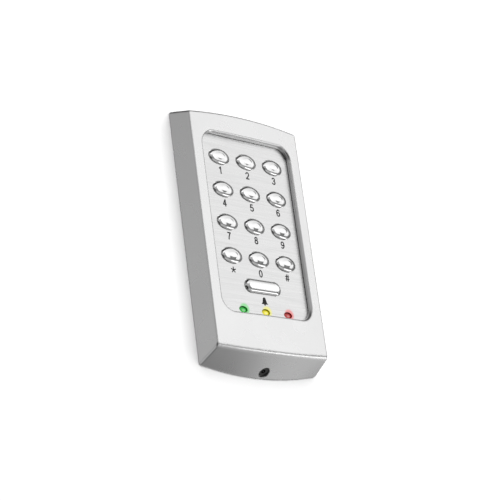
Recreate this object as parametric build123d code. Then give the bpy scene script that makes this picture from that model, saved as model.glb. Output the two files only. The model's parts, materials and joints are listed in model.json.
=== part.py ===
"""Wall-mounted keypad access reader, in millimetres.

+Z is up, +Y points into the wall and the wall plane is y = 0, so the keys face -Y.
The origin is the middle of the wall plate's four screw holes.
"""

from build123d import *
import os

# Body: a cast shell that narrows and shortens from the wall to its front corners.
REAR_WIDTH = 75.2
FRONT_WIDTH = 71.6
CORNER_DEPTH = 13.26
FRONT_BULGE = 1.15
REAR_TOP = 66.6
FRONT_TOP = 62.35
REAR_TOP_RISE = 3.0
FRONT_TOP_RISE = 2.37
REAR_BOTTOM = -66.6
FRONT_BOTTOM = -60.6
REAR_BOTTOM_DROP = 4.2
FRONT_BOTTOM_DROP = 1.83
BOTTOM_EDGE_R = 3.2
EDGE_R = 1.25
REAR_EDGE_R = 0.6
SIDE_WALL = 2.2
END_WALL = 2.4
FRONT_Y = -(CORNER_DEPTH + FRONT_BULGE)

# Key grid and the opening around it.
GRID_Z = 14.65
PITCH = 17.64
OPENING_HALF = 28.8
OPENING_TOP = GRID_Z + 38.45
OPENING_BOTTOM = GRID_Z - 56.35
OPENING_CORNER_R = 7.4
OPENING_EDGE_R = 1.5
PLATE_MARGIN = 2.4

# Layers behind the opening, as y planes from front to back.
GASKET_FRONT = -11.3
PLATE_FRONT = -11.0
PLATE_BACK = -10.2
MAT_FRONT = -8.0
BOARD_FRONT = -7.0
BOARD_BACK = -5.4

# Keys. The crown is given as shares of the half width and heights above the plate.
KEY_RX = 6.35
KEY_RZ = 4.03
KEY_GAP = 0.4
KEY_CROWN = [(1.0, 0.1), (0.97, 0.36), (0.88, 0.68), (0.70, 1.05), (0.45, 1.38), (0.0, 1.65)]
FLANGE_LIP = 1.1
FLANGE_PLAY = 0.05
FLANGE_T = 0.7
KEY_TRAVEL = 0.7
GUIDE_GAP = 0.25
BELL_Z = GRID_Z - 2.33 * PITCH
BELL_LENGTH = 22.9
BELL_WIDTH = 6.8
BELL_BOSS_X = 6.0

# Silicone boots and the contacts below them.
BOOT_R = 4.4
BOOT_WALL = 0.4
BOSS_R = 2.3
PILL_R = 1.7
PAD_R = 2.2
PAD_T = 0.05
PAD_SLIT = 0.4

# Indicator lights.
LIGHT_Z = GRID_Z - 54.0
LIGHT_PITCH = 14.55
LIGHT_RX = 2.7
LIGHT_RZ = 1.65
LENS_GAP = 0.18
LENS_TIP = -10.65
LENS_RIM = -10.1
LENS_BACK = -7.9
LED_SIZE = (3.2, 2.4, 0.8)

# Legends.
LEGEND_DROP = 7.35
LEGEND_HEIGHT = 3.9
LEGEND_STROKE = 0.165
SIGN_STROKE = 0.14
INK_T = 0.04
BELL_SYMBOL_DROP = 7.2

# Board, its bosses and screws.
BOARD_HALF = 33.0
BOARD_TOP = 61.0
BOARD_BOTTOM = -57.5
NOTCH_HALF = 10.0
NOTCH_TOP = -42.8
BOSS_POINTS = [(-27, 58.3), (0, 58.3), (27, 58.3), (-27, -50.0), (27, -50.0)]
BOARD_BOSS_R = 2.3
BOARD_SCREW_R = 1.25
BOARD_HEAD_R = 2.2
BOARD_HEAD_T = 1.3
BOARD_SCREW_TIP = -10.0
HEADER_Z = -36.0
HEADER_HALF = 7.5
HEADER_HEIGHT = 6.0
HEADER_DEPTH = 3.0

# Wall plate.
WALL_T = 1.5
WALL_HALF = 34.3
WALL_TOP = 61.0
WALL_BOTTOM = -61.5
WALL_CORNER_R = 4.0
WALL_HOLE_X = 50.0
WALL_HOLE_Z = 100.0
WALL_HOLE_R = 2.25
HOOK_X = 14.0
HOOK_WIDTH = 9.0
HOOK_SECTION = [
    (0, 54), (0, 57), (-1.8, 59.4), (-1.8, 63.8),
    (-3.2, 63.8), (-3.2, 58.8), (-1.5, 56.6), (-1.5, 54),
]
LUG_WIDTH = 12.0
LUG_FRONT = -1.5
LUG_BACK = -0.3
LUG_BOTTOM = 61.6

# Cable inlet.
INLET_Z = -51.0
INLET_R = 4.0
GROMMET_NECK_R = 5.8
GROMMET_FLANGE_R = 7.6
DISH_R = 9.0
DISH_DEPTH = 1.2

# Retaining screw, square to the sloped bottom face.
SCREW_Y = -3.95
SCREW_HOLE_R = 3.05
SCREW_HOLE_RIM = 0.25
SCREW_HEAD_R = 2.7
SCREW_HEAD_IN = 1.0
SCREW_HEAD_T = 1.7
SCREW_R = 1.25
SCREW_REACH = 4.9
SOCKET_FLATS = 2.2
SOCKET_DEPTH = 1.1
SOCKET_PIN_R = 0.35
LIP_HALF = 9.0
LIP_OUT = 3.0
LIP_T = 1.8
LIP_LENGTH = 5.0

KEY_ROWS = [
    ["key_1", "key_2", "key_3"],
    ["key_4", "key_5", "key_6"],
    ["key_7", "key_8", "key_9"],
    ["key_star", "key_0", "key_hash"],
]


# ---------------------------------------------------------------- helpers


def wall_plane(y):
    """Sketch plane parallel to the wall: local x is X, local y is Z, its normal faces the front."""
    return Plane(origin=(0, y, 0), x_dir=(1, 0, 0), z_dir=(0, -1, 0))


def slab(sketch, back, front):
    """Extrudes an X-Z sketch from the plane y = back to the plane y = front."""
    return extrude(wall_plane(back) * sketch, amount=back - front)


def block(x0, x1, y0, y1, z0, z1):
    """Axis-aligned box between two corners."""
    size = (x1 - x0, y1 - y0, z1 - z0)
    return Pos((x0 + x1) / 2, (y0 + y1) / 2, (z0 + z1) / 2) * Box(*size)


def spun(points, x, z):
    """Solid of revolution about the Y line at (x, z), from (radius, y) points."""
    outline = make_face(Polyline(*[(r, -y) for r, y in points], close=True).edges())
    turned = revolve(Plane.XZ * outline, axis=Axis.Z)
    return Plane(origin=(x, 0, z), x_dir=(1, 0, 0), z_dir=(0, -1, 0)) * turned


def union(shapes):
    """Fuses a list of shapes."""
    first, *rest = shapes
    return first.fuse(*rest) if rest else first


def save(shape, node):
    """Writes one sub-part."""
    export_step(shape, f"parts/{node}.step")


# ---------------------------------------------------------------- body shape


def mix(rear, front, y):
    """Straight-line change from the wall plane to the front corners, carried on past them."""
    return rear + (front - rear) * (-y / CORNER_DEPTH)


def body_outline(y, side_inset=0.0, end_inset=0.0):
    """The body's outline at depth y: straight sides, arched top and bottom."""
    half = mix(REAR_WIDTH, FRONT_WIDTH, y) / 2 - side_inset
    top = mix(REAR_TOP, FRONT_TOP, y) - end_inset
    bottom = mix(REAR_BOTTOM, FRONT_BOTTOM, y) + end_inset
    rise = mix(REAR_TOP_RISE, FRONT_TOP_RISE, y)
    drop = mix(REAR_BOTTOM_DROP, FRONT_BOTTOM_DROP, y)
    edges = [
        Line((-half, bottom), (-half, top)),
        ThreePointArc((-half, top), (0, top + rise), (half, top)),
        Line((half, top), (half, bottom)),
        ThreePointArc((half, bottom), (0, bottom - drop), (-half, bottom)),
    ]
    return wall_plane(y) * make_face(edges)


def front_cylinder():
    """Large upright cylinder whose skin is the bulged front face."""
    half = FRONT_WIDTH / 2
    radius = (half**2 + FRONT_BULGE**2) / (2 * FRONT_BULGE)
    return Pos(0, FRONT_Y + radius, 0) * Cylinder(radius, 4 * REAR_TOP)


def outer_body():
    """The casting's solid outer shape with its rolled edges."""
    sections = [body_outline(0), body_outline(FRONT_Y - 1.0)]
    body = loft(sections, ruled=True) & front_cylinder()
    front = body.faces().sort_by(Axis.Y)[0]
    body = fillet(front.edges().sort_by(Axis.Z)[0], BOTTOM_EDGE_R)
    sides = body.faces().sort_by(Axis.X)
    rolled = [e for side in (sides[0], sides[-1]) for e in side.edges() if e.center().Y < -0.01]
    front = body.faces().sort_by(Axis.Y)[0]
    rolled.append(front.edges().sort_by(Axis.Z)[-1])
    body = fillet(rolled, EDGE_R)
    rear = body.faces().sort_by(Axis.Y)[-1]
    return fillet(rear.edges(), REAR_EDGE_R)


def screw_frame():
    """Frame on the sloped bottom face at the retaining screw: local z points out of the face."""
    front_z = mix(REAR_BOTTOM - REAR_BOTTOM_DROP, FRONT_BOTTOM - FRONT_BOTTOM_DROP, FRONT_Y)
    rear_z = REAR_BOTTOM - REAR_BOTTOM_DROP
    slope = Vector(0, -FRONT_Y, rear_z - front_z).normalized()
    z = rear_z + (front_z - rear_z) * SCREW_Y / FRONT_Y
    return Plane(origin=(0, SCREW_Y, z), x_dir=(1, 0, 0), z_dir=(0, slope.Z, -slope.Y))


def screw_rod(radius, top, tip):
    """Cylinder on the retaining screw's axis between two depths below the face."""
    return screw_frame() * Pos(0, 0, -(top + tip) / 2) * Cylinder(radius, tip - top)


# ---------------------------------------------------------------- housing


def rounded_opening(grow):
    """X-Z outline of the opening, grown by a margin all round."""
    half = OPENING_HALF + grow
    height = OPENING_TOP - OPENING_BOTTOM + 2 * grow
    middle = (OPENING_TOP + OPENING_BOTTOM) / 2
    return Pos(0, middle) * RectangleRounded(2 * half, height, OPENING_CORNER_R + grow)


def cavity():
    """Space inside the casting, open at the wall."""
    sections = [body_outline(y, SIDE_WALL, END_WALL) for y in (1.0, GASKET_FRONT)]
    return loft(sections, ruled=True)


def board_bosses():
    """Cast pillars that take the board screws."""
    bosses = []
    for x, z in BOSS_POINTS:
        pillar = spun([(0, GASKET_FRONT), (BOARD_BOSS_R, GASKET_FRONT), (BOARD_BOSS_R, BOARD_FRONT),
                       (0, BOARD_FRONT)], x, z)
        bosses.append(pillar)
    return bosses


def hook_lugs():
    """Ledges under the top wall that sit behind the wall plate's hooks."""
    reach = REAR_TOP + REAR_TOP_RISE / 2 - END_WALL / 2
    return [
        block(x - LUG_WIDTH / 2, x + LUG_WIDTH / 2, LUG_FRONT, LUG_BACK, LUG_BOTTOM, reach)
        for x in (-HOOK_X, HOOK_X)
    ]


def front_housing():
    """Cast housing: shell, rolled opening, board pillars, hook lugs and a chamfered screw hole."""
    body = outer_body() - slab(rounded_opening(0), 1.0, FRONT_Y - 1.0)
    front = body.faces().filter_by(GeomType.CYLINDER).sort_by(Axis.Y)[0]
    rim = min(front.inner_wires(), key=lambda wire: wire.length)
    body = fillet(rim.edges(), OPENING_EDGE_R)
    body = body - cavity()
    body = union([body, *board_bosses(), *hook_lugs()])
    body = body - screw_rod(SCREW_HOLE_R, -2.0, SCREW_HEAD_IN + SCREW_HEAD_T)
    rim_cone = Cone(SCREW_HOLE_R, SCREW_HOLE_R + 2 * SCREW_HOLE_RIM, 2 * SCREW_HOLE_RIM)
    body = body - screw_frame() * rim_cone
    for x, z in BOSS_POINTS:
        tap = spun([(0, BOARD_SCREW_TIP - 0.3), (BOARD_SCREW_R, BOARD_SCREW_TIP - 0.3),
                    (BOARD_SCREW_R, BOARD_FRONT), (0, BOARD_FRONT)], x, z)
        body = body - tap
    return body


# ---------------------------------------------------------------- key layout


def key_centres():
    """Name and centre of each oval key."""
    centres = {}
    for row, names in enumerate(KEY_ROWS):
        for column, name in enumerate(names):
            centres[name] = ((column - 1) * PITCH, GRID_Z + (1.5 - row) * PITCH)
    return centres


def contact_points():
    """Centres of the contacts: one under each oval key, two under the bell key."""
    return [*key_centres().values(), (-BELL_BOSS_X, BELL_Z), (BELL_BOSS_X, BELL_Z)]


def oval(grow, x, z):
    """Oval key outline grown by a margin."""
    return Pos(x, z) * Ellipse(KEY_RX + grow, KEY_RZ + grow)


def bell_slot(grow):
    """Bell key outline grown by a margin."""
    return Pos(0, BELL_Z) * SlotOverall(BELL_LENGTH + 2 * grow, BELL_WIDTH + 2 * grow)


def key_outlines(grow):
    """All thirteen key outlines as one sketch."""
    ovals = [oval(grow, x, z) for x, z in key_centres().values()]
    return Sketch() + [*ovals, bell_slot(grow)]


def light_outlines(grow):
    """The three indicator outlines as one sketch."""
    return Sketch() + [
        Pos(x, LIGHT_Z) * Ellipse(LIGHT_RX + grow, LIGHT_RZ + grow) for x in light_places().values()
    ]


def light_places():
    """Colour and x of each indicator."""
    return {"green": -LIGHT_PITCH, "yellow": 0.0, "red": LIGHT_PITCH}


# ---------------------------------------------------------------- front layers


def plate_gasket():
    """Thin ring that seals the plate to the housing."""
    ring = rounded_opening(PLATE_MARGIN - 0.3) - rounded_opening(0.3)
    return slab(ring, PLATE_FRONT, GASKET_FRONT)


def face_plate():
    """Brushed plate with its key and light holes."""
    sheet = rounded_opening(PLATE_MARGIN) - key_outlines(KEY_GAP) - light_outlines(0)
    return slab(sheet, PLATE_BACK, PLATE_FRONT)


def key_guide():
    """Moulded frame behind the plate that guides the key flanges and holds the lenses."""
    frame = rounded_opening(PLATE_MARGIN) - key_outlines(FLANGE_LIP + GUIDE_GAP)
    return slab(frame - light_outlines(-LENS_GAP), MAT_FRONT, PLATE_BACK)


# ---------------------------------------------------------------- keys


def key_frame(x, z):
    """Frame on the plate's front at a key: local z points to the front."""
    return Plane(origin=(x, PLATE_FRONT, z), x_dir=(1, 0, 0), z_dir=(0, -1, 0))


def cap_section(radius):
    """Half section of a key's cap: a pillow crown on a straight skirt down to the flange's back."""
    depth = PLATE_BACK + FLANGE_PLAY + FLANGE_T - PLATE_FRONT
    crown = [(radius * share, height) for share, height in KEY_CROWN]
    edges = [
        Line((0, -depth), (radius, -depth)),
        Line((radius, -depth), crown[0]),
        Spline(crown, tangents=[(0, 1), (-1, 0)]),
        Line(crown[-1], (0, -depth)),
    ]
    return make_face(edges)


def flange(outline):
    """Lip that stops a key behind the plate."""
    front = PLATE_BACK + FLANGE_PLAY
    return slab(outline, front + FLANGE_T, front)


def oval_key(x, z):
    """Chromed oval key: a turned cap stretched to the oval, and its flange."""
    turned = revolve(Plane.XZ * cap_section(1), axis=Axis.Z)
    cap = scale(turned, by=(KEY_RX, KEY_RZ, 1))
    return key_frame(x, z) * cap + flange(oval(FLANGE_LIP, x, z))


def key_bell():
    """Long chromed key: the same crown drawn out along X between two half-turned ends."""
    radius = BELL_WIDTH / 2
    half = BELL_LENGTH / 2 - radius
    section = cap_section(radius)
    across = Plane.YZ * (section + mirror(section, about=Plane.YZ))
    end = Rot(0, 0, -90) * revolve(Plane.XZ * section, axis=Axis.Z, revolution_arc=180)
    ends = [Pos(half, 0, 0) * end, Pos(-half, 0, 0) * Rot(0, 0, 180) * end]
    cap = union([extrude(across, half, both=True), *ends])
    return key_frame(0, BELL_Z) * cap + flange(bell_slot(FLANGE_LIP))


# ---------------------------------------------------------------- mat and contacts


def boot(x, z):
    """Silicone boot: a boss under the key, a thin sloping wall and a contact pill inside."""
    boss_front = PLATE_BACK + FLANGE_PLAY + FLANGE_T
    pill_back = BOARD_FRONT - PAD_T - KEY_TRAVEL
    shoulder = MAT_FRONT - 0.6
    profile = [
        (0, boss_front),
        (BOSS_R, boss_front),
        (BOSS_R, shoulder),
        (BOOT_R, MAT_FRONT),
        (BOOT_R, BOARD_FRONT),
        (BOOT_R - BOOT_WALL, BOARD_FRONT),
        (BOOT_R - BOOT_WALL, MAT_FRONT + BOOT_WALL),
        (BOSS_R, shoulder + BOOT_WALL),
        (PILL_R, shoulder + BOOT_WALL),
        (PILL_R, pill_back),
        (0, pill_back),
    ]
    return spun(profile, x, z)


def key_mat():
    """Silicone mat with one boot under each contact point."""
    sheet = rounded_opening(PLATE_MARGIN) - [Pos(x, z) * Circle(BOOT_R - 0.1) for x, z in contact_points()]
    window = Rectangle(2 * LIGHT_RX + 1.6, 2 * LIGHT_RZ + 1.6)
    sheet = sheet - [Pos(x, LIGHT_Z) * window for x in light_places().values()]
    return union([slab(sheet, BOARD_FRONT, MAT_FRONT), *[boot(x, z) for x, z in contact_points()]])


def contact_pads():
    """Two plated half discs on the board under each pill."""
    slit = Rectangle(PAD_SLIT, 3 * PAD_R)
    halves = [Pos(x, z) * (Circle(PAD_R) - slit) for x, z in contact_points()]
    plated = [slab(half, BOARD_FRONT, BOARD_FRONT - PAD_T) for half in halves]
    return Compound(children=[solid for pair in plated for solid in pair.solids()])


# ---------------------------------------------------------------- lights


def lens(x):
    """Oval tinted lens with a domed tip just inside the plate's hole."""
    rx, rz = LIGHT_RX - LENS_GAP, LIGHT_RZ - LENS_GAP
    rim = LENS_BACK - LENS_RIM
    tip = LENS_BACK - LENS_TIP
    edges = [
        Line((0, 0), (1, 0)),
        Line((1, 0), (1, rim)),
        Spline([(1, rim), (0.75, rim + 0.7 * (tip - rim)), (0, tip)], tangents=[(0, 1), (-1, 0)]),
        Line((0, tip), (0, 0)),
    ]
    turned = scale(revolve(Plane.XZ * make_face(edges), axis=Axis.Z), by=(rx, rz, 1))
    return Plane(origin=(x, LENS_BACK, LIGHT_Z), x_dir=(1, 0, 0), z_dir=(0, -1, 0)) * turned


def led(x):
    """Surface-mounted light on the board, just behind its lens."""
    width, height, depth = LED_SIZE
    return block(x - width / 2, x + width / 2, BOARD_FRONT - depth, BOARD_FRONT,
                 LIGHT_Z - height / 2, LIGHT_Z + height / 2)


# ---------------------------------------------------------------- legends


def stroke(*curves):
    """One pen stroke along joined curves, with round joints, in a cell one unit high."""
    joints = [curve @ 1 for curve in curves[:-1]]
    dots = [Pos(p.X, p.Y) * Circle(LEGEND_STROKE / 2) for p in joints]
    return Sketch() + [*[trace(curve, LEGEND_STROKE) for curve in curves], *dots]


def ring(x, y, rx, ry):
    """Closed oval stroke about its centre line."""
    pen = LEGEND_STROKE / 2
    return Pos(x, y) * (Ellipse(rx + pen, ry + pen) - Ellipse(rx - pen, ry - pen))


def digit_one():
    return stroke(Line((-0.20, 0.72), (0.04, 0.96)), Line((0.04, 0.96), (0.04, 0.0)))


def digit_two():
    return stroke(
        ThreePointArc((-0.22, 0.70), (0.0, 0.94), (0.22, 0.70)),
        ThreePointArc((0.22, 0.70), (0.14, 0.48), (0.0, 0.33)),
        Line((0.0, 0.33), (-0.22, 0.065)),
        Line((-0.22, 0.065), (0.27, 0.065)),
    )


def digit_three():
    return stroke(
        ThreePointArc((-0.20, 0.74), (0.0, 0.935), (0.19, 0.74)),
        ThreePointArc((0.19, 0.74), (0.12, 0.58), (-0.05, 0.53)),
    ) + stroke(
        ThreePointArc((-0.05, 0.53), (0.15, 0.46), (0.23, 0.29)),
        ThreePointArc((0.23, 0.29), (0.0, 0.065), (-0.23, 0.27)),
    )


def digit_four():
    return stroke(Line((0.10, 0.0), (0.10, 0.93)), Line((0.10, 0.93), (-0.25, 0.29)),
                  Line((-0.25, 0.29), (0.28, 0.29)))


def digit_five():
    return stroke(
        Line((0.21, 0.935), (-0.14, 0.935)),
        Line((-0.14, 0.935), (-0.20, 0.50)),
        ThreePointArc((-0.20, 0.50), (0.03, 0.60), (0.23, 0.33)),
        ThreePointArc((0.23, 0.33), (0.01, 0.065), (-0.23, 0.26)),
    )


def digit_six():
    return ring(0.01, 0.31, 0.22, 0.245) + stroke(
        ThreePointArc((-0.21, 0.33), (-0.15, 0.78), (0.03, 0.935)),
        ThreePointArc((0.03, 0.935), (0.14, 0.90), (0.21, 0.76)),
    )


def digit_seven():
    return stroke(Line((-0.24, 0.935), (0.25, 0.935)),
                  ThreePointArc((0.25, 0.935), (0.03, 0.50), (-0.07, 0.0)))


def digit_eight():
    return ring(0, 0.735, 0.185, 0.20) + ring(0, 0.30, 0.225, 0.235)


def digit_nine():
    return Pos(0, 1) * Rot(0, 0, 180) * digit_six()


def digit_zero():
    return ring(0, 0.5, 0.225, 0.435)


def star_sign():
    """Five arms about the cell's middle."""
    arm = trace(Line((0, 0), (0, 0.42)), SIGN_STROKE)
    return Pos(0, 0.46) * (Sketch() + [Rot(0, 0, 72 * k) * arm for k in range(5)])


def hash_sign():
    """Two leaning uprights and two bars."""
    uprights = [trace(Line((x - 0.05, 0.02), (x + 0.05, 0.98)), SIGN_STROKE) for x in (-0.12, 0.14)]
    bars = [trace(Line((-0.33, y), (0.33, y)), SIGN_STROKE) for y in (0.33, 0.67)]
    return Sketch() + [*uprights, *bars]


def bell_sign():
    """Plain bell: domed body, flared lip and clapper."""
    lip, waist, crown = 0.52, 0.32, 0.24
    foot, brim, neck, shoulder, top = 0.10, 0.19, 0.45, 0.80, 1.02
    right = [
        Line((0, foot), (lip, foot)),
        Line((lip, foot), (lip, brim)),
        ThreePointArc((lip, brim), (0.38, 0.28), (waist, neck)),
        Line((waist, neck), (crown, shoulder)),
        ThreePointArc((crown, shoulder), (0.16, 0.96), (0, top)),
        Line((0, top), (0, foot)),
    ]
    half = make_face(right)
    return Sketch() + [half, mirror(half, about=Plane.YZ), Pos(0, foot - 0.04) * Circle(0.13)]


def legend_ink():
    """Thin printed legends: one under each key."""
    signs = {
        "key_1": digit_one(), "key_2": digit_two(), "key_3": digit_three(),
        "key_4": digit_four(), "key_5": digit_five(), "key_6": digit_six(),
        "key_7": digit_seven(), "key_8": digit_eight(), "key_9": digit_nine(),
        "key_star": star_sign(), "key_0": digit_zero(), "key_hash": hash_sign(),
    }
    places = {name: (x, z - LEGEND_DROP) for name, (x, z) in key_centres().items()}
    signs["key_bell"] = bell_sign()
    places["key_bell"] = (0, BELL_Z - BELL_SYMBOL_DROP)
    solids = []
    for name, sign in signs.items():
        x, z = places[name]
        size = (LEGEND_HEIGHT, LEGEND_HEIGHT, 1)
        sized = Pos(x, z) * scale(Pos(0, -0.5) * sign, by=size, about=(0, 0, 0))
        solids += slab(sized, PLATE_FRONT, PLATE_FRONT - INK_T).solids()
    return Compound(children=solids)


# ---------------------------------------------------------------- board and its components


def circuit_board():
    """Board on the housing's pillars, notched around the cable inlet."""
    middle = (BOARD_TOP + BOARD_BOTTOM) / 2
    sheet = Pos(0, middle) * RectangleRounded(2 * BOARD_HALF, BOARD_TOP - BOARD_BOTTOM, 2.5)
    notch_height = NOTCH_TOP - BOARD_BOTTOM + 4
    sheet = sheet - Pos(0, NOTCH_TOP - notch_height / 2) * RectangleRounded(2 * NOTCH_HALF, notch_height, 2)
    sheet = sheet - [Pos(x, z) * Circle(BOARD_SCREW_R + 0.15) for x, z in BOSS_POINTS]
    return slab(sheet, BOARD_BACK, BOARD_FRONT)


def board_screws():
    """Pan-head screws from the wall side through the board into the pillars."""
    head_back = BOARD_BACK + BOARD_HEAD_T
    profile = [(0, head_back), (BOARD_HEAD_R * 0.8, head_back), (BOARD_HEAD_R, head_back - 0.4),
               (BOARD_HEAD_R, BOARD_BACK), (BOARD_SCREW_R, BOARD_BACK), (BOARD_SCREW_R, BOARD_SCREW_TIP),
               (0, BOARD_SCREW_TIP)]
    screws = []
    for x, z in BOSS_POINTS:
        cross = [block(x - a, x + a, head_back - 0.7, head_back + 1, z - b, z + b)
                 for a, b in ((1.2, 0.3), (0.3, 1.2))]
        screws.append(spun(profile, x, z) - cross)
    return Compound(children=[s for screw in screws for s in screw.solids()])


def on_back(x, z, width, height, depth):
    """Block on the board's wall side."""
    return block(x - width / 2, x + width / 2, BOARD_BACK, BOARD_BACK + depth,
                 z - height / 2, z + height / 2)


def processor():
    """Square flat chip with a row of leads on each side."""
    x, z, size, pitch = -12.0, 18.0, 10.0, 0.8
    body = block(x - size / 2, x + size / 2, BOARD_BACK + 0.1, BOARD_BACK + 1.5, z - size / 2, z + size / 2)
    leads = []
    for k in range(8):
        step = (k - 3.5) * pitch
        leads.append(on_back(x, z + step, size + 2.4, 0.35, 0.4))
        leads.append(on_back(x + step, z, 0.35, size + 2.4, 0.4))
    return union([body, *leads])


def crystal():
    """Quartz can beside the processor."""
    x, z, width, height, depth = -12.0, 5.5, 5.0, 3.2, 1.1
    can = on_back(x, z, width, height, depth)
    return fillet(can.edges().filter_by(Axis.Y), 0.8)


def voltage_regulator():
    """Small power chip: body, wide tab and three leads."""
    x, z = 20.0, -22.0
    leads = [on_back(x + dx, z - 2.6, 0.7, 1.8, 0.4) for dx in (-2.3, 0, 2.3)]
    return union([on_back(x, z, 6.5, 3.5, 1.6), on_back(x, z + 2.6, 3.0, 1.8, 0.4), *leads])


def sounder():
    """Low square beeper with a sound hole."""
    x, z = 14.0, 24.0
    shell = fillet(on_back(x, z, 11.0, 11.0, 2.2).edges().filter_by(Axis.Y), 1.5)
    hole = spun([(0, BOARD_BACK + 1.0), (1.0, BOARD_BACK + 1.0), (1.0, 0), (0, 0)], x, z)
    return shell - hole


def chip_parts():
    """Resistors and capacitors in two rows."""
    places = [(-26.0 + 4.5 * k, z) for z in (-6.0, -10.0) for k in range(6)]
    return Compound(children=[on_back(x, z, 2.0, 1.25, 0.6).solid() for x, z in places])


def wire_header():
    """Low wire connector, open towards the cable inlet."""
    z0, z1 = HEADER_Z - HEADER_HEIGHT / 2, HEADER_Z + HEADER_HEIGHT / 2
    back = BOARD_BACK + HEADER_DEPTH
    shell = block(-HEADER_HALF, HEADER_HALF, BOARD_BACK, back, z0, z1)
    mouth = block(-HEADER_HALF + 0.8, HEADER_HALF - 0.8, BOARD_BACK + 0.7, back - 0.6, z0 - 1, z1 - 1.2)
    return shell - mouth


def header_pins():
    """Contact pins inside the wire connector."""
    y = BOARD_BACK + HEADER_DEPTH / 2
    z0, z1 = HEADER_Z - HEADER_HEIGHT / 2 + 0.6, HEADER_Z + HEADER_HEIGHT / 2 - 1.2
    pins = [block(x - 0.25, x + 0.25, y - 0.25, y + 0.25, z0, z1)
            for x in [(k - 3.5) * 1.5 for k in range(8)]]
    return Compound(children=[pin.solid() for pin in pins])


# ---------------------------------------------------------------- wall side


def hook(x):
    """Tongue folded forward out of the wall plate's top edge."""
    outline = Polyline(*HOOK_SECTION, close=True)
    side = Plane(origin=(x - HOOK_WIDTH / 2, 0, 0), x_dir=(0, 1, 0), z_dir=(1, 0, 0))
    return extrude(side * make_face(outline), HOOK_WIDTH)


def screw_lip():
    """Tapped lip folded forward at the wall plate's bottom, parallel to the housing's bottom face."""
    frame = screw_frame()
    along = Vector(0, frame.z_dir.Z, -frame.z_dir.Y)
    out = frame.origin - frame.z_dir * LIP_OUT
    inner = out - frame.z_dir * LIP_T
    ends = [out - along * (out.Y / along.Y), out + along * LIP_LENGTH, inner + along * LIP_LENGTH,
            inner - along * ((inner.Y + WALL_T) / along.Y)]
    points = [(p.Y, p.Z) for p in ends]
    outline = Polyline((0, WALL_BOTTOM + 4), *points, (-WALL_T, WALL_BOTTOM + 4), close=True)
    section = Plane(origin=(-LIP_HALF, 0, 0), x_dir=(0, 1, 0), z_dir=(1, 0, 0)) * make_face(outline)
    return extrude(section, 2 * LIP_HALF)


def back_plate():
    """Folded steel wall plate: panel, hooks, tapped lip and a dished cable inlet."""
    middle = (WALL_TOP + WALL_BOTTOM) / 2
    sheet = Pos(0, middle) * RectangleRounded(2 * WALL_HALF, WALL_TOP - WALL_BOTTOM, WALL_CORNER_R)
    half_x, half_z = WALL_HOLE_X / 2, WALL_HOLE_Z / 2
    corners = [(x, z) for x in (-half_x, half_x) for z in (-half_z, half_z)]
    sheet = sheet - [Pos(x, z) * Circle(WALL_HOLE_R) for x, z in corners]
    sheet = sheet - [Pos(x, WALL_TOP) * Rectangle(HOOK_WIDTH + 1.0, 8.0) for x in (-HOOK_X, HOOK_X)]
    panel = union([slab(sheet, 0, -WALL_T), hook(-HOOK_X), hook(HOOK_X), screw_lip()])
    dish_front = -WALL_T - DISH_DEPTH
    dish = [(0, dish_front), (DISH_R, dish_front), (DISH_R, -WALL_T), (0, -WALL_T)]
    panel = panel + spun(dish, 0, INLET_Z)
    inner_r = DISH_R - 1.1
    panel = panel - spun([(0, -DISH_DEPTH), (inner_r, -DISH_DEPTH), (inner_r, 1), (0, 1)], 0, INLET_Z)
    panel = panel - spun([(0, -5), (GROMMET_NECK_R, -5), (GROMMET_NECK_R, 1), (0, 1)], 0, INLET_Z)
    return panel - screw_rod(SCREW_R, 0, SCREW_REACH)


def cable_grommet():
    """Rubber bush in the dished hole."""
    front, back = -WALL_T - DISH_DEPTH, -DISH_DEPTH
    profile = [
        (INLET_R, front - 1.0),
        (GROMMET_FLANGE_R - 0.4, front - 1.0),
        (GROMMET_FLANGE_R, front - 0.6),
        (GROMMET_FLANGE_R, front),
        (GROMMET_NECK_R, front),
        (GROMMET_NECK_R, back),
        (GROMMET_FLANGE_R, back),
        (GROMMET_FLANGE_R, -0.1),
        (INLET_R, -0.1),
    ]
    return spun(profile, 0, INLET_Z)


def retaining_screw():
    """Security screw: its head sits in the housing's hole and its shank in the lip."""
    head_back = SCREW_HEAD_IN + SCREW_HEAD_T
    head = screw_rod(SCREW_HEAD_R, SCREW_HEAD_IN, head_back)
    hexagon = RegularPolygon(SOCKET_FLATS / 2, 6, major_radius=False)
    socket = extrude(hexagon - Circle(SOCKET_PIN_R), -SOCKET_DEPTH)
    head = head - screw_frame() * Pos(0, 0, -SCREW_HEAD_IN) * socket
    return head + screw_rod(SCREW_R, head_back, SCREW_REACH)


# ---------------------------------------------------------------- assembly


def sub_parts():
    """Every sub-part by its node name."""
    parts = {
        "front_housing": front_housing(),
        "plate_gasket": plate_gasket(),
        "face_plate": face_plate(),
        "legend_ink": legend_ink(),
        "key_bell": key_bell(),
        "key_guide": key_guide(),
        "key_mat": key_mat(),
        "contact_pads": contact_pads(),
        "circuit_board": circuit_board(),
        "board_screws": board_screws(),
        "processor": processor(),
        "crystal": crystal(),
        "voltage_regulator": voltage_regulator(),
        "sounder": sounder(),
        "chip_parts": chip_parts(),
        "wire_header": wire_header(),
        "header_pins": header_pins(),
        "back_plate": back_plate(),
        "cable_grommet": cable_grommet(),
        "retaining_screw": retaining_screw(),
    }
    for name, (x, z) in key_centres().items():
        parts[name] = oval_key(x, z)
    for colour, x in light_places().items():
        parts[f"lens_{colour}"] = lens(x)
        parts[f"led_{colour}"] = led(x)
    return parts


os.makedirs("parts", exist_ok=True)
for node, shape in sub_parts().items():
    save(shape, node)
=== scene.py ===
"""Looks, light and camera for the wall-mounted keypad access reader. Metres; +Z up, keys face -Y."""
import json
import math

import bpy
from mathutils import Matrix, Vector


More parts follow.
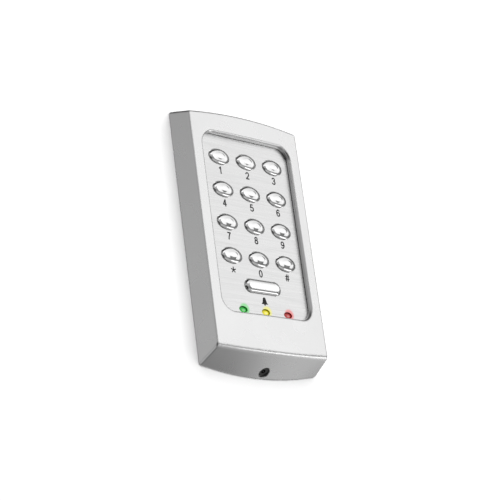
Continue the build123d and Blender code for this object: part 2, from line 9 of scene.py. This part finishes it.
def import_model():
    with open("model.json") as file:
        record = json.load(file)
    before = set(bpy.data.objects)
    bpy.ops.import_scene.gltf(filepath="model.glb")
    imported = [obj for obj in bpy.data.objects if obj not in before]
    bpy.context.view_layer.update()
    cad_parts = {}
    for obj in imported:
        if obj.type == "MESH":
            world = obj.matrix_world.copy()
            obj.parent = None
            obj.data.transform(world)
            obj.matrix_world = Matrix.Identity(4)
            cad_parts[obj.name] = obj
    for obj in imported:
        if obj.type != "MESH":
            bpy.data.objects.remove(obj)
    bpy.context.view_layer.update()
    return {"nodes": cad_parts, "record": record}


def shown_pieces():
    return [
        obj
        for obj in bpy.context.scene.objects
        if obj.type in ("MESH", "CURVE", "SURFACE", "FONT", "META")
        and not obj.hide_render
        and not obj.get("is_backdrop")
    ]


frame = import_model()
NODES = frame["nodes"]
MM = 0.001

# Plate and indicators, in millimetres: x and colour of each light, whose glow is painted into the plate's
# colour beside it.
PLATE_Y = -11.0
LIGHT_ROW = -39.35
LIGHTS = [(-14.55, (0.05, 0.75, 0.10)), (0.0, (0.95, 0.90, 0.02)), (14.55, (0.95, 0.10, 0.10))]
SPILL_SHIFT = (0.9, 0.2)
SPILL_INNER = 2.2
SPILL_OUTER = 3.6

# Camera, as it looks at a point on the face plate.
AIM = Vector((-5.06, -11.0, -7.25)) * MM
DISTANCE = 783.6 * MM
AZIMUTH = -42.66
ELEVATION = -19.84
ROLL = -7.68
LENS = 113.8
SENSOR = 36.0

# ---------------------------------------------------------------- directions


def direction(azimuth, elevation):
    """Unit vector from the object towards a viewer or lamp; azimuth 0 is straight in front."""
    a, e = math.radians(azimuth), math.radians(elevation)
    return Vector((math.sin(a) * math.cos(e), -math.cos(a) * math.cos(e), math.sin(e)))


# ---------------------------------------------------------------- node helpers


class Shade:
    """A node material with short calls for the nodes used here."""

    def __init__(self, name):
        self.material = bpy.data.materials.new(name)
        self.material.use_nodes = True
        self.tree = self.material.node_tree
        self.tree.nodes.clear()
        self.output = self.tree.nodes.new("ShaderNodeOutputMaterial")
        self.place = self.add("ShaderNodeTexCoord").outputs["Object"]

    def add(self, kind, **settings):
        node = self.tree.nodes.new(kind)
        for key, value in settings.items():
            setattr(node, key, value)
        return node

    def link(self, source, target):
        self.tree.links.new(source, target)

    def surface(self, **values):
        """Principled shader with constant sockets, joined to the output."""
        shader = self.add("ShaderNodeBsdfPrincipled")
        for key, value in values.items():
            shader.inputs[key.replace("_", " ")].default_value = value
        self.link(shader.outputs[0], self.output.inputs["Surface"])
        return shader

    def noise(self, scale, stretch=(1, 1, 1), detail=4.0, roughness=0.6):
        """Noise over the part's own coordinates; scale counts cycles per metre."""
        mapping = self.add("ShaderNodeMapping")
        mapping.inputs["Scale"].default_value = stretch
        self.link(self.place, mapping.inputs["Vector"])
        node = self.add("ShaderNodeTexNoise")
        node.inputs["Scale"].default_value = scale
        node.inputs["Detail"].default_value = detail
        node.inputs["Roughness"].default_value = roughness
        self.link(mapping.outputs["Vector"], node.inputs["Vector"])
        return node.outputs["Fac"]

    def spread(self, source, low, high, start=0.3, stop=0.7):
        """Maps a 0 to 1 value from start..stop onto low..high."""
        node = self.add("ShaderNodeMapRange")
        node.inputs["From Min"].default_value = start
        node.inputs["From Max"].default_value = stop
        node.inputs["To Min"].default_value = low
        node.inputs["To Max"].default_value = high
        self.link(source, node.inputs["Value"])
        return node.outputs["Result"]

    def tint(self, source, dark, light, start=0.3, stop=0.7):
        """Colour between two greys or colours along a 0 to 1 value."""
        ramp = self.add("ShaderNodeValToRGB")
        ramp.color_ramp.elements[0].position = start
        ramp.color_ramp.elements[0].color = (*dark, 1)
        ramp.color_ramp.elements[1].position = stop
        ramp.color_ramp.elements[1].color = (*light, 1)
        self.link(source, ramp.inputs["Fac"])
        return ramp.outputs["Color"]

    def bump(self, source, shader, distance, strength=1.0):
        """Bump of a real depth in metres."""
        node = self.add("ShaderNodeBump")
        node.inputs["Distance"].default_value = distance
        node.inputs["Strength"].default_value = strength
        self.link(source, node.inputs["Height"])
        self.link(node.outputs["Normal"], shader.inputs["Normal"])
        return node


def grey(value, blue=0.0):
    return (value, value, value + blue)


# ---------------------------------------------------------------- materials


def silver_paint():
    """Satin silver lacquer: fine flake and slight orange peel."""
    s = Shade("silver_paint")
    shader = s.surface(Metallic=0.92, Coat_Weight=0.12, Coat_Roughness=0.25)
    flake = s.noise(9000, detail=2.0)
    cloud = s.noise(45, detail=3.0)
    colour = s.tint(flake, grey(0.82), grey(0.84), 0.35, 0.65)
    s.link(colour, shader.inputs["Base Color"])
    s.link(s.spread(cloud, 0.25, 0.30), shader.inputs["Roughness"])
    peel = s.noise(1400, detail=2.0)
    s.bump(peel, shader, 0.0000015)
    return s.material


def painted_glow(s, under, x, light):
    """Painted glow: light spilt on the plate beside one indicator, painted into the base colour over the
    colour under it.
    """
    spot = s.add("ShaderNodeVectorMath", operation="DISTANCE")
    spot.inputs[1].default_value = Vector((x + SPILL_SHIFT[0], PLATE_Y, LIGHT_ROW + SPILL_SHIFT[1])) * MM
    s.link(s.place, spot.inputs[0])
    fade = s.add("ShaderNodeMapRange", interpolation_type="SMOOTHSTEP")
    fade.inputs["From Min"].default_value = SPILL_INNER * MM
    fade.inputs["From Max"].default_value = SPILL_OUTER * MM
    fade.inputs["To Min"].default_value = 0.6
    fade.inputs["To Max"].default_value = 0.0
    s.link(spot.outputs["Value"], fade.inputs["Value"])
    mix = s.add("ShaderNodeMix", data_type="RGBA")
    factor, base, over = mix.inputs[0], mix.inputs[6], mix.inputs[7]
    over.default_value = (*light, 1)
    s.link(fade.outputs["Result"], factor)
    s.link(under, base)
    return mix.outputs[2]


def brushed_plate():
    """Stainless sheet brushed from side to side, with each indicator's glow painted into its colour."""
    s = Shade("brushed_plate")
    shader = s.surface(Metallic=1.0, Anisotropic=0.55)
    fine = s.noise(1.0, stretch=(60, 60, 6500), detail=5.0, roughness=0.7)
    broad = s.noise(1.0, stretch=(25, 25, 1400), detail=3.0)
    s.link(s.spread(broad, 0.24, 0.36), shader.inputs["Roughness"])
    tangent = s.add("ShaderNodeTangent", direction_type="RADIAL", axis="Z")
    s.link(tangent.outputs["Tangent"], shader.inputs["Tangent"])
    s.bump(fine, shader, 0.000004)
    colour = s.tint(fine, grey(0.70), grey(0.84), 0.25, 0.75)
    # Painted glow of each indicator, mixed into the plate's base colour.
    for x, light in LIGHTS:
        colour = painted_glow(s, colour, x, light)
    s.link(colour, shader.inputs["Base Color"])
    return s.material


def chrome():
    """Bright plating with the faintest ripple and a few fine rubbed marks."""
    s = Shade("chrome")
    shader = s.surface(Metallic=1.0)
    shader.inputs["Specular Tint"].default_value = (0.12, 0.12, 0.12, 1)
    rub = s.noise(700, stretch=(1, 1, 3), detail=5.0)
    s.link(s.tint(rub, grey(0.90), grey(0.94)), shader.inputs["Base Color"])
    s.link(s.spread(rub, 0.035, 0.075), shader.inputs["Roughness"])
    s.bump(s.noise(260, detail=1.0), shader, 0.000004)
    return s.material


def plain(name, dark, light, rough=(0.4, 0.6), grain=1500, depth=0.00001, **sockets):
    """Moulded, cast or sheet finish: two close colours, uneven gloss and a fine grain."""
    s = Shade(name)
    shader = s.surface(**sockets)
    noise = s.noise(grain, detail=4.0)
    cloud = s.noise(grain / 12, detail=2.0)
    s.link(s.tint(noise, dark, light), shader.inputs["Base Color"])
    s.link(s.spread(cloud, *rough), shader.inputs["Roughness"])
    s.bump(noise, shader, depth)
    return s.material


def lens_glow(name, deep, bright, strength):
    """Tinted lens lit from behind: a pale hot spot low in the middle, and painted shade where the glow dims
    towards the upper left.
    """
    s = Shade(name)
    shader = s.surface(Roughness=0.12, IOR=1.49, Coat_Weight=0.3, Coat_Roughness=0.04)
    haze = s.noise(900, detail=2.0)
    s.link(s.tint(haze, deep, [c * 1.1 for c in deep]), shader.inputs["Base Color"])
    box = s.add("ShaderNodeTexCoord").outputs["Generated"]
    reach = s.add("ShaderNodeVectorMath", operation="DISTANCE")
    reach.inputs[1].default_value = (0.56, 0.5, 0.36)
    flat = s.add("ShaderNodeVectorMath", operation="MULTIPLY_ADD")
    flat.inputs[1].default_value = (1.0, 0.0, 1.0)
    flat.inputs[2].default_value = (0.0, 0.5, 0.0)
    s.link(box, flat.inputs[0])
    s.link(flat.outputs["Vector"], reach.inputs[0])
    glow = s.tint(reach.outputs["Value"], [0.5 * c + 0.45 for c in bright], bright, 0.10, 0.26)
    s.link(glow, shader.inputs["Emission Color"])
    # Emission falls off away from the hot spot; the dim upper left is painted shade under the rim of the
    # hole.
    power = s.spread(reach.outputs["Value"], strength, strength * 0.12, 0.2, 0.62)
    s.link(power, shader.inputs["Emission Strength"])
    return s.material


def ink():
    """Screen-printed black with slightly uneven cover."""
    return plain("ink", grey(0.004), grey(0.010), rough=(0.45, 0.65), grain=5000, depth=0.000004)


MATERIALS = {
    "silver_paint": silver_paint,
    "brushed_plate": brushed_plate,
    "chrome": chrome,
    "ink": ink,
    "black_rubber": lambda: plain("black_rubber", grey(0.015), grey(0.03), rough=(0.6, 0.8)),
    "black_plastic": lambda: plain("black_plastic", grey(0.02), grey(0.035), rough=(0.45, 0.6)),
    "grey_silicone": lambda: plain("grey_silicone", grey(0.30), grey(0.38), rough=(0.55, 0.7)),
    "gold_plate": lambda: plain("gold_plate", (0.72, 0.48, 0.18), (0.86, 0.62, 0.28), rough=(0.2, 0.35),
                                Metallic=1.0),
    "board_green": lambda: plain("board_green", (0.010, 0.075, 0.03), (0.016, 0.11, 0.045),
                                 rough=(0.25, 0.4)),
    "zinc_steel": lambda: plain("zinc_steel", grey(0.55), grey(0.68), rough=(0.25, 0.4), Metallic=1.0),
    "chip_black": lambda: plain("chip_black", grey(0.012), grey(0.02), rough=(0.5, 0.6)),
    "tin_can": lambda: plain("tin_can", grey(0.6), grey(0.7), rough=(0.3, 0.4), Metallic=1.0),
    "sounder_black": lambda: plain("sounder_black", grey(0.015), grey(0.025), rough=(0.5, 0.65)),
    "chip_ceramic": lambda: plain("chip_ceramic", (0.30, 0.19, 0.10), (0.42, 0.28, 0.15), rough=(0.4, 0.5)),
    "header_white": lambda: plain("header_white", (0.68, 0.66, 0.58), (0.76, 0.74, 0.66), rough=(0.4, 0.5)),
    "wall_steel": lambda: plain("wall_steel", grey(0.50), grey(0.64, 0.01), rough=(0.28, 0.45), grain=600,
                                Metallic=1.0),
    "dark_steel": lambda: plain("dark_steel", grey(0.07), grey(0.12), rough=(0.25, 0.4), Metallic=1.0),
    "lens_green": lambda: lens_glow("lens_green", (0.01, 0.30, 0.03), (0.02, 0.75, 0.06), 0.55),
    "lens_yellow": lambda: lens_glow("lens_yellow", (0.70, 0.62, 0.01), (0.95, 0.85, 0.02), 0.65),
    "lens_red": lambda: lens_glow("lens_red", (0.35, 0.01, 0.01), (0.75, 0.03, 0.02), 0.45),
    "led_body": lambda: plain("led_body", grey(0.75), grey(0.82), rough=(0.2, 0.3)),
}


def dress():
    """Gives every CAD node the finish of its record slot."""
    made = {name: make() for name, make in MATERIALS.items()}
    for part in frame["record"]["subparts"]:
        node = NODES[part["node"]]
        node.data.materials.clear()
        node.data.materials.append(made[part["material_slot"]])


# ---------------------------------------------------------------- stage


def wall():
    """Pale wall behind the reader. It shows only to the camera, and only from the front."""
    half = 3.0
    mesh = bpy.data.meshes.new("wall")
    gap = 0.0002
    corners = [(-half, gap, -half), (half, gap, -half), (half, gap, half), (-half, gap, half)]
    mesh.from_pydata(corners, [], [(0, 1, 2, 3)])
    plane = bpy.data.objects.new("wall", mesh)
    bpy.context.scene.collection.objects.link(plane)
    s = Shade("wall")
    paint = s.add("ShaderNodeBsdfDiffuse")
    paint.inputs["Color"].default_value = (0.92, 0.92, 0.92, 1)
    clear = s.add("ShaderNodeBsdfTransparent")
    mix = s.add("ShaderNodeMixShader")
    geometry = s.add("ShaderNodeNewGeometry")
    s.link(geometry.outputs["Backfacing"], mix.inputs["Fac"])
    s.link(paint.outputs[0], mix.inputs[1])
    s.link(clear.outputs[0], mix.inputs[2])
    s.link(mix.outputs[0], s.output.inputs["Surface"])
    mesh.materials.append(s.material)
    plane.visible_diffuse = False
    plane.visible_glossy = False
    plane.visible_transmission = False
    plane.visible_shadow = False
    plane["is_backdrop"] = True
    return plane


def lamp(name, azimuth, elevation, width, height, radiance, distance=1.0):
    """Rectangular soft light aimed at the reader; radiance is what a mirror would show of it."""
    data = bpy.data.lights.new(name, "AREA")
    data.shape = "RECTANGLE"
    data.size = width
    data.size_y = height
    data.energy = radiance * math.pi * width * height
    light = bpy.data.objects.new(name, data)
    bpy.context.scene.collection.objects.link(light)
    towards = direction(azimuth, elevation)
    light.location = towards * distance
    light.rotation_mode = "QUATERNION"
    light.rotation_quaternion = (-towards).to_track_quat("-Z", "Y")
    light.visible_camera = False
    return light


def receivers(name, objects):
    """Collection used to say which objects a lamp lights."""
    group = bpy.data.collections.new(name)
    for o in objects:
        group.objects.link(o)
    return group


def studio(plane):
    """Soft boxes and cards around the reader, and one lamp that lights the wall alone."""
    body_only = receivers("reader_only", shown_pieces())
    wall_only = receivers("wall_only", [plane])
    boxes = [
        lamp("key_box", 38, 25, 0.84, 0.90, 0.74, 0.8),
        lamp("low_strip", 56, -27, 0.50, 0.14, 1.2, 0.6),
        lamp("left_card", -6, 34, 0.15, 0.15, 1.0, 0.6),
        lamp("floor_bounce", 84, -42, 0.26, 0.26, 0.22, 0.45),
    ]
    for light in boxes:
        light.light_linking.receiver_collection = body_only
    wash = lamp("wall_wash", 10, 20, 2.4, 2.4, 2.9, 1.8)
    wash.light_linking.receiver_collection = wall_only


def world():
    """Dim grey room: darker overhead and underfoot; plain white where the camera sees it directly."""
    room = bpy.data.worlds.new("room")
    room.use_nodes = True
    bpy.context.scene.world = room
    tree = room.node_tree
    tree.nodes.clear()
    place = tree.nodes.new("ShaderNodeTexCoord")
    split = tree.nodes.new("ShaderNodeSeparateXYZ")
    tree.links.new(place.outputs["Generated"], split.inputs[0])
    height = tree.nodes.new("ShaderNodeMapRange")
    height.inputs["From Min"].default_value = -1
    tree.links.new(split.outputs["Z"], height.inputs["Value"])
    ramp = tree.nodes.new("ShaderNodeValToRGB")
    stops = [
        (0.0, 0.08), (0.12, 0.20), (0.28, 0.30), (0.45, 0.10),
        (0.62, 0.26), (0.80, 0.14), (0.92, 0.02), (1.0, 0.01),
    ]
    ramp.color_ramp.elements[0].position = stops[0][0]
    ramp.color_ramp.elements[0].color = (*grey(stops[0][1]), 1)
    ramp.color_ramp.elements[1].position = stops[-1][0]
    ramp.color_ramp.elements[1].color = (*grey(stops[-1][1]), 1)
    for position, value in stops[1:-1]:
        ramp.color_ramp.elements.new(position).color = (*grey(value), 1)
    tree.links.new(height.outputs["Result"], ramp.inputs["Fac"])
    side = tree.nodes.new("ShaderNodeMapRange")
    side.inputs["From Min"].default_value = -1
    side.inputs["To Min"].default_value = 2.1
    side.inputs["To Max"].default_value = 1.5
    tree.links.new(split.outputs["X"], side.inputs["Value"])
    camera_side = tree.nodes.new("ShaderNodeVectorMath")
    camera_side.operation = "DOT_PRODUCT"
    tree.links.new(place.outputs["Generated"], camera_side.inputs[0])
    camera_side.inputs[1].default_value = direction(AZIMUTH, ELEVATION)
    flag = tree.nodes.new("ShaderNodeMapRange")
    flag.inputs["From Min"].default_value = 0.80
    flag.inputs["From Max"].default_value = 0.93
    flag.inputs["To Min"].default_value = 1.0
    flag.inputs["To Max"].default_value = 0.05
    tree.links.new(camera_side.outputs["Value"], flag.inputs["Value"])
    strength = tree.nodes.new("ShaderNodeMath")
    strength.operation = "MULTIPLY"
    tree.links.new(side.outputs["Result"], strength.inputs[0])
    tree.links.new(flag.outputs["Result"], strength.inputs[1])
    dim = tree.nodes.new("ShaderNodeBackground")
    tree.links.new(ramp.outputs["Color"], dim.inputs["Color"])
    tree.links.new(strength.outputs[0], dim.inputs["Strength"])
    white = tree.nodes.new("ShaderNodeBackground")
    white.inputs["Color"].default_value = (0.97, 0.97, 0.97, 1)
    path = tree.nodes.new("ShaderNodeLightPath")
    mix = tree.nodes.new("ShaderNodeMixShader")
    tree.links.new(path.outputs["Is Camera Ray"], mix.inputs["Fac"])
    tree.links.new(dim.outputs[0], mix.inputs[1])
    tree.links.new(white.outputs[0], mix.inputs[2])
    output = tree.nodes.new("ShaderNodeOutputWorld")
    tree.links.new(mix.outputs[0], output.inputs["Surface"])


def camera():
    """The viewer stands low on the left, with the camera turned a little about its axis."""
    data = bpy.data.cameras.new("camera")
    data.lens = LENS
    data.sensor_width = SENSOR
    data.clip_start = 0.01
    view = bpy.data.objects.new("camera", data)
    bpy.context.scene.collection.objects.link(view)
    back = direction(AZIMUTH, ELEVATION)
    turn = (-back).to_track_quat("-Z", "Y").to_matrix() @ Matrix.Rotation(math.radians(ROLL), 3, "Z")
    view.matrix_world = Matrix.Translation(AIM + back * DISTANCE) @ turn.to_4x4()
    bpy.context.scene.camera = view


# ---------------------------------------------------------------- build

camera()
dress()
world()
studio(wall())
bpy.context.scene.view_settings.view_transform = "Standard"
